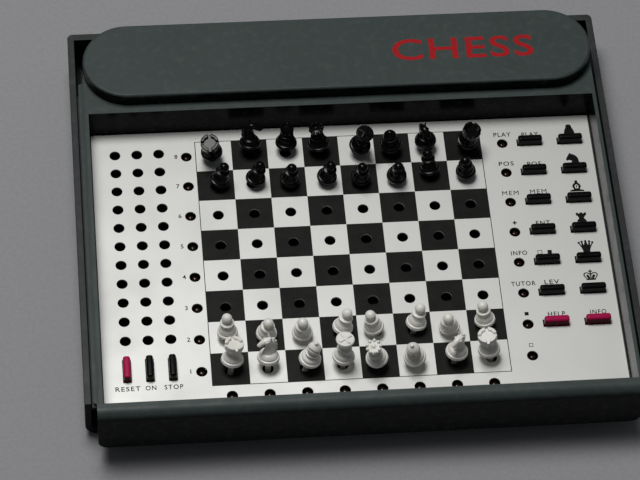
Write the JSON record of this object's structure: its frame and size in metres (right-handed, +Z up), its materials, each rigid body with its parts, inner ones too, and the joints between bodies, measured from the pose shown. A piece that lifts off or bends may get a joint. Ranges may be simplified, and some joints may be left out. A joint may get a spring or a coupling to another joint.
{
  "type": "chess computer",
  "caption": "Travel chess computer with a recessed metal playing field, peg chessmen standing in their holes, press keys and a slide-off cover stowed under it.",
  "frame": {"origin": "middle of the whole object's footprint, on the surface it rests on", "axes": "+X to the player's right, +Y away from the player towards the battery hump, +Z up"},
  "size_m": [0.223, 0.1926, 0.0388],
  "materials": {
    "housing": "satin moulded",
    "cover": "satin moulded",
    "panel": "fine brushed, dark printed squares",
    "key_black": "satin",
    "key_red": "satin",
    "lamp": "tinted clear",
    "white_men": "satin moulded",
    "black_men": "satin moulded",
    "board": "lacquered",
    "cell": "printed sleeve",
    "spring_steel": "plated",
    "screw": "plated",
    "foot": "matt"
  },
  "bodies": {
    "housing": {"top_housing": "housing", "bottom_housing": "housing", "panel_plate": "panel", "circuit_board": "board", "leds": "lamp", "batteries": "cell", "battery_contacts": "spring_steel", "screws": "screw", "feet": "foot"},
    "cover": {"cover": "cover"},
    "battery_door": {"battery_door": "housing"},
    "black_bishop_c8": {"black_bishop_c8": "black_men"},
    "black_bishop_f8": {"black_bishop_f8": "black_men"},
    "black_king_e8": {"black_king_e8": "black_men"},
    "black_knight_b8": {"black_knight_b8": "black_men"},
    "black_knight_g8": {"black_knight_g8": "black_men"},
    "black_pawn_a7": {"black_pawn_a7": "black_men"},
    "black_pawn_b7": {"black_pawn_b7": "black_men"},
    "black_pawn_c7": {"black_pawn_c7": "black_men"},
    "black_pawn_d7": {"black_pawn_d7": "black_men"},
    "black_pawn_e7": {"black_pawn_e7": "black_men"},
    "black_pawn_f7": {"black_pawn_f7": "black_men"},
    "black_pawn_g7": {"black_pawn_g7": "black_men"},
    "black_pawn_h7": {"black_pawn_h7": "black_men"},
    "black_queen_d8": {"black_queen_d8": "black_men"},
    "black_rook_a8": {"black_rook_a8": "black_men"},
    "black_rook_h8": {"black_rook_h8": "black_men"},
    "key_bishop": {"key_bishop": "key_black"},
    "key_enter": {"key_enter": "key_black"},
    "key_help": {"key_help": "key_red"},
    "key_info": {"key_info": "key_red"},
    "key_king": {"key_king": "key_black"},
    "key_knight": {"key_knight": "key_black"},
    "key_level": {"key_level": "key_black"},
    "key_memory": {"key_memory": "key_black"},
    "key_on": {"key_on": "key_black"},
    "key_pawn": {"key_pawn": "key_black"},
    "key_play": {"key_play": "key_black"},
    "key_position": {"key_position": "key_black"},
    "key_queen": {"key_queen": "key_black"},
    "key_reset": {"key_reset": "key_red"},
    "key_rook": {"key_rook": "key_black"},
    "key_side": {"key_side": "key_black"},
    "key_stop": {"key_stop": "key_black"},
    "white_bishop_c1": {"white_bishop_c1": "white_men"},
    "white_bishop_f1": {"white_bishop_f1": "white_men"},
    "white_king_d1": {"white_king_d1": "white_men"},
    "white_knight_b1": {"white_knight_b1": "white_men"},
    "white_knight_g1": {"white_knight_g1": "white_men"},
    "white_pawn_a2": {"white_pawn_a2": "white_men"},
    "white_pawn_b2": {"white_pawn_b2": "white_men"},
    "white_pawn_c2": {"white_pawn_c2": "white_men"},
    "white_pawn_d2": {"white_pawn_d2": "white_men"},
    "white_pawn_e2": {"white_pawn_e2": "white_men"},
    "white_pawn_f2": {"white_pawn_f2": "white_men"},
    "white_pawn_g2": {"white_pawn_g2": "white_men"},
    "white_pawn_h2": {"white_pawn_h2": "white_men"},
    "white_queen_e1": {"white_queen_e1": "white_men"},
    "white_rook_a1": {"white_rook_a1": "white_men"},
    "white_rook_h1": {"white_rook_h1": "white_men"}
  },
  "joints": [
    {"name": "cover_slide", "type": "slide", "parent": "housing", "child": "cover", "axis": [0, 1, 0], "range_m": [0, 0.182]},
    {"name": "battery_door_slide", "type": "slide", "parent": "housing", "child": "battery_door", "axis": [0, 1, 0], "range_m": [0, 0.005]},
    {"name": "black_bishop_c8_lift", "type": "slide", "parent": "housing", "child": "black_bishop_c8", "axis": [0, 0, 1], "range_m": [0, 0.03]},
    {"name": "black_bishop_f8_lift", "type": "slide", "parent": "housing", "child": "black_bishop_f8", "axis": [0, 0, 1], "range_m": [0, 0.03]},
    {"name": "black_king_e8_lift", "type": "slide", "parent": "housing", "child": "black_king_e8", "axis": [0, 0, 1], "range_m": [0, 0.03]},
    {"name": "black_knight_b8_lift", "type": "slide", "parent": "housing", "child": "black_knight_b8", "axis": [0, 0, 1], "range_m": [0, 0.03]},
    {"name": "black_knight_g8_lift", "type": "slide", "parent": "housing", "child": "black_knight_g8", "axis": [0, 0, 1], "range_m": [0, 0.03]},
    {"name": "black_pawn_a7_lift", "type": "slide", "parent": "housing", "child": "black_pawn_a7", "axis": [0, 0, 1], "range_m": [0, 0.03]},
    {"name": "black_pawn_b7_lift", "type": "slide", "parent": "housing", "child": "black_pawn_b7", "axis": [0, 0, 1], "range_m": [0, 0.03]},
    {"name": "black_pawn_c7_lift", "type": "slide", "parent": "housing", "child": "black_pawn_c7", "axis": [0, 0, 1], "range_m": [0, 0.03]},
    {"name": "black_pawn_d7_lift", "type": "slide", "parent": "housing", "child": "black_pawn_d7", "axis": [0, 0, 1], "range_m": [0, 0.03]},
    {"name": "black_pawn_e7_lift", "type": "slide", "parent": "housing", "child": "black_pawn_e7", "axis": [0, 0, 1], "range_m": [0, 0.03]},
    {"name": "black_pawn_f7_lift", "type": "slide", "parent": "housing", "child": "black_pawn_f7", "axis": [0, 0, 1], "range_m": [0, 0.03]},
    {"name": "black_pawn_g7_lift", "type": "slide", "parent": "housing", "child": "black_pawn_g7", "axis": [0, 0, 1], "range_m": [0, 0.03]},
    {"name": "black_pawn_h7_lift", "type": "slide", "parent": "housing", "child": "black_pawn_h7", "axis": [0, 0, 1], "range_m": [0, 0.03]},
    {"name": "black_queen_d8_lift", "type": "slide", "parent": "housing", "child": "black_queen_d8", "axis": [0, 0, 1], "range_m": [0, 0.03]},
    {"name": "black_rook_a8_lift", "type": "slide", "parent": "housing", "child": "black_rook_a8", "axis": [0, 0, 1], "range_m": [0, 0.03]},
    {"name": "black_rook_h8_lift", "type": "slide", "parent": "housing", "child": "black_rook_h8", "axis": [0, 0, 1], "range_m": [0, 0.03]},
    {"name": "key_bishop_press", "type": "slide", "parent": "housing", "child": "key_bishop", "axis": [0, 0, -1], "range_m": [0, 0.0008], "stiffness_N_per_m": 250},
    {"name": "key_enter_press", "type": "slide", "parent": "housing", "child": "key_enter", "axis": [0, 0, -1], "range_m": [0, 0.0008], "stiffness_N_per_m": 250},
    {"name": "key_help_press", "type": "slide", "parent": "housing", "child": "key_help", "axis": [0, 0, -1], "range_m": [0, 0.0008], "stiffness_N_per_m": 250},
    {"name": "key_info_press", "type": "slide", "parent": "housing", "child": "key_info", "axis": [0, 0, -1], "range_m": [0, 0.0008], "stiffness_N_per_m": 250},
    {"name": "key_king_press", "type": "slide", "parent": "housing", "child": "key_king", "axis": [0, 0, -1], "range_m": [0, 0.0008], "stiffness_N_per_m": 250},
    {"name": "key_knight_press", "type": "slide", "parent": "housing", "child": "key_knight", "axis": [0, 0, -1], "range_m": [0, 0.0008], "stiffness_N_per_m": 250},
    {"name": "key_level_press", "type": "slide", "parent": "housing", "child": "key_level", "axis": [0, 0, -1], "range_m": [0, 0.0008], "stiffness_N_per_m": 250},
    {"name": "key_memory_press", "type": "slide", "parent": "housing", "child": "key_memory", "axis": [0, 0, -1], "range_m": [0, 0.0008], "stiffness_N_per_m": 250},
    {"name": "key_on_press", "type": "slide", "parent": "housing", "child": "key_on", "axis": [0, 0, -1], "range_m": [0, 0.0008], "stiffness_N_per_m": 250},
    {"name": "key_pawn_press", "type": "slide", "parent": "housing", "child": "key_pawn", "axis": [0, 0, -1], "range_m": [0, 0.0008], "stiffness_N_per_m": 250},
    {"name": "key_play_press", "type": "slide", "parent": "housing", "child": "key_play", "axis": [0, 0, -1], "range_m": [0, 0.0008], "stiffness_N_per_m": 250},
    {"name": "key_position_press", "type": "slide", "parent": "housing", "child": "key_position", "axis": [0, 0, -1], "range_m": [0, 0.0008], "stiffness_N_per_m": 250},
    {"name": "key_queen_press", "type": "slide", "parent": "housing", "child": "key_queen", "axis": [0, 0, -1], "range_m": [0, 0.0008], "stiffness_N_per_m": 250},
    {"name": "key_reset_press", "type": "slide", "parent": "housing", "child": "key_reset", "axis": [0, 0, -1], "range_m": [0, 0.0008], "stiffness_N_per_m": 250},
    {"name": "key_rook_press", "type": "slide", "parent": "housing", "child": "key_rook", "axis": [0, 0, -1], "range_m": [0, 0.0008], "stiffness_N_per_m": 250},
    {"name": "key_side_press", "type": "slide", "parent": "housing", "child": "key_side", "axis": [0, 0, -1], "range_m": [0, 0.0008], "stiffness_N_per_m": 250},
    {"name": "key_stop_press", "type": "slide", "parent": "housing", "child": "key_stop", "axis": [0, 0, -1], "range_m": [0, 0.0008], "stiffness_N_per_m": 250},
    {"name": "white_bishop_c1_lift", "type": "slide", "parent": "housing", "child": "white_bishop_c1", "axis": [0, 0, 1], "range_m": [0, 0.03]},
    {"name": "white_bishop_f1_lift", "type": "slide", "parent": "housing", "child": "white_bishop_f1", "axis": [0, 0, 1], "range_m": [0, 0.03]},
    {"name": "white_king_d1_lift", "type": "slide", "parent": "housing", "child": "white_king_d1", "axis": [0, 0, 1], "range_m": [0, 0.03]},
    {"name": "white_knight_b1_lift", "type": "slide", "parent": "housing", "child": "white_knight_b1", "axis": [0, 0, 1], "range_m": [0, 0.03]},
    {"name": "white_knight_g1_lift", "type": "slide", "parent": "housing", "child": "white_knight_g1", "axis": [0, 0, 1], "range_m": [0, 0.03]},
    {"name": "white_pawn_a2_lift", "type": "slide", "parent": "housing", "child": "white_pawn_a2", "axis": [0, 0, 1], "range_m": [0, 0.03]},
    {"name": "white_pawn_b2_lift", "type": "slide", "parent": "housing", "child": "white_pawn_b2", "axis": [0, 0, 1], "range_m": [0, 0.03]},
    {"name": "white_pawn_c2_lift", "type": "slide", "parent": "housing", "child": "white_pawn_c2", "axis": [0, 0, 1], "range_m": [0, 0.03]},
    {"name": "white_pawn_d2_lift", "type": "slide", "parent": "housing", "child": "white_pawn_d2", "axis": [0, 0, 1], "range_m": [0, 0.03]},
    {"name": "white_pawn_e2_lift", "type": "slide", "parent": "housing", "child": "white_pawn_e2", "axis": [0, 0, 1], "range_m": [0, 0.03]},
    {"name": "white_pawn_f2_lift", "type": "slide", "parent": "housing", "child": "white_pawn_f2", "axis": [0, 0, 1], "range_m": [0, 0.03]},
    {"name": "white_pawn_g2_lift", "type": "slide", "parent": "housing", "child": "white_pawn_g2", "axis": [0, 0, 1], "range_m": [0, 0.03]},
    {"name": "white_pawn_h2_lift", "type": "slide", "parent": "housing", "child": "white_pawn_h2", "axis": [0, 0, 1], "range_m": [0, 0.03]},
    {"name": "white_queen_e1_lift", "type": "slide", "parent": "housing", "child": "white_queen_e1", "axis": [0, 0, 1], "range_m": [0, 0.03]},
    {"name": "white_rook_a1_lift", "type": "slide", "parent": "housing", "child": "white_rook_a1", "axis": [0, 0, 1], "range_m": [0, 0.03]},
    {"name": "white_rook_h1_lift", "type": "slide", "parent": "housing", "child": "white_rook_h1", "axis": [0, 0, 1], "range_m": [0, 0.03]}
  ]
}
